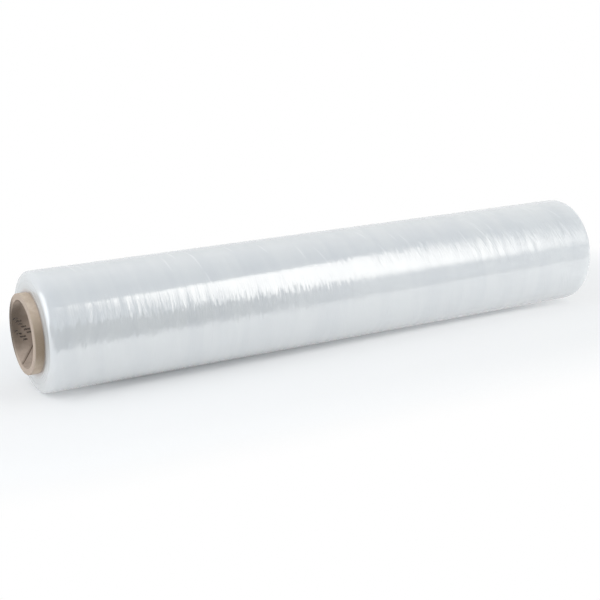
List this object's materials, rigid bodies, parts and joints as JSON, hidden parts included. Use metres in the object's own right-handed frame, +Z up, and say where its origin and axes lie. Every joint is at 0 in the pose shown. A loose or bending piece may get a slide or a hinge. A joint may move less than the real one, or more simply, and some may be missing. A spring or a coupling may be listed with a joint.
{
  "type": "stretch wrap roll",
  "caption": "Roll of clear stretch film wound on a spiral cardboard core that stands out at both ends, lying on its side.",
  "frame": {"origin": "on the floor under the middle of the roll, in the film's flat spot", "axes": "+X along the roll's axis towards its far end, +Z up, and -X is the end that the picture shows"},
  "size_m": [0.514, 0.0908, 0.0905],
  "materials": {
    "core": "matt brown board, spiral wound",
    "film": "clear film that looks milky and glossy wound up"
  },
  "bodies": {
    "root": {"cardboard_core": "core", "wound_film": "film"}
  },
  "joints": []
}
